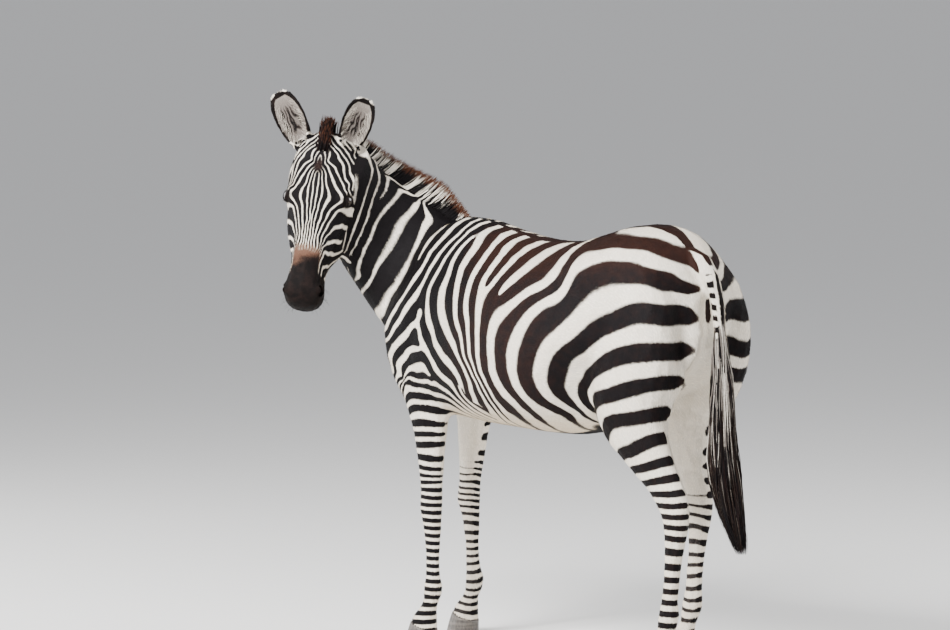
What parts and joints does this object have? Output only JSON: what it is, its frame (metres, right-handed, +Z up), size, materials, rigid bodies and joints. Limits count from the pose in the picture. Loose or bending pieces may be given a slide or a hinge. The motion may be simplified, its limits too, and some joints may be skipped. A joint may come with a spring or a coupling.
{
  "type": "standing zebra figure",
  "caption": "Life-size still figure of a plains zebra standing square on four hooves, neck bent left, face turned back over the shoulder, tail hanging.",
  "frame": {"origin": "centre of the bounding box's base, on the floor the hooves stand on", "axes": "+Z up; the body lies along X with the tail end towards +X; the animal's left side faces -Y"},
  "size_m": [1.6004, 0.79, 1.6254],
  "materials": {
    "ear_left": "thin furred leaf",
    "ear_right": "thin furred leaf",
    "eye_left": "dark wet eye",
    "eye_right": "dark wet eye",
    "forelock": "coarse standing or hanging hair",
    "head": "short striped coat",
    "hoof_front_left": "grey horn",
    "hoof_front_right": "grey horn",
    "hoof_hind_left": "grey horn",
    "hoof_hind_right": "grey horn",
    "leg_front_left": "short striped coat",
    "leg_front_right": "short striped coat",
    "leg_hind_left": "short striped coat",
    "leg_hind_right": "short striped coat",
    "mane": "coarse standing or hanging hair",
    "neck": "short striped coat",
    "tail_dock": "short striped coat",
    "tail_hair": "coarse standing or hanging hair",
    "trunk": "short striped coat"
  },
  "bodies": {
    "root": {"ear_left": "ear_left", "ear_right": "ear_right", "eye_left": "eye_left", "eye_right": "eye_right", "forelock": "forelock", "head": "head", "hoof_front_left": "hoof_front_left", "hoof_front_right": "hoof_front_right", "hoof_hind_left": "hoof_hind_left", "hoof_hind_right": "hoof_hind_right", "leg_front_left": "leg_front_left", "leg_front_right": "leg_front_right", "leg_hind_left": "leg_hind_left", "leg_hind_right": "leg_hind_right", "mane": "mane", "neck": "neck", "tail_dock": "tail_dock", "tail_hair": "tail_hair", "trunk": "trunk"}
  },
  "joints": []
}
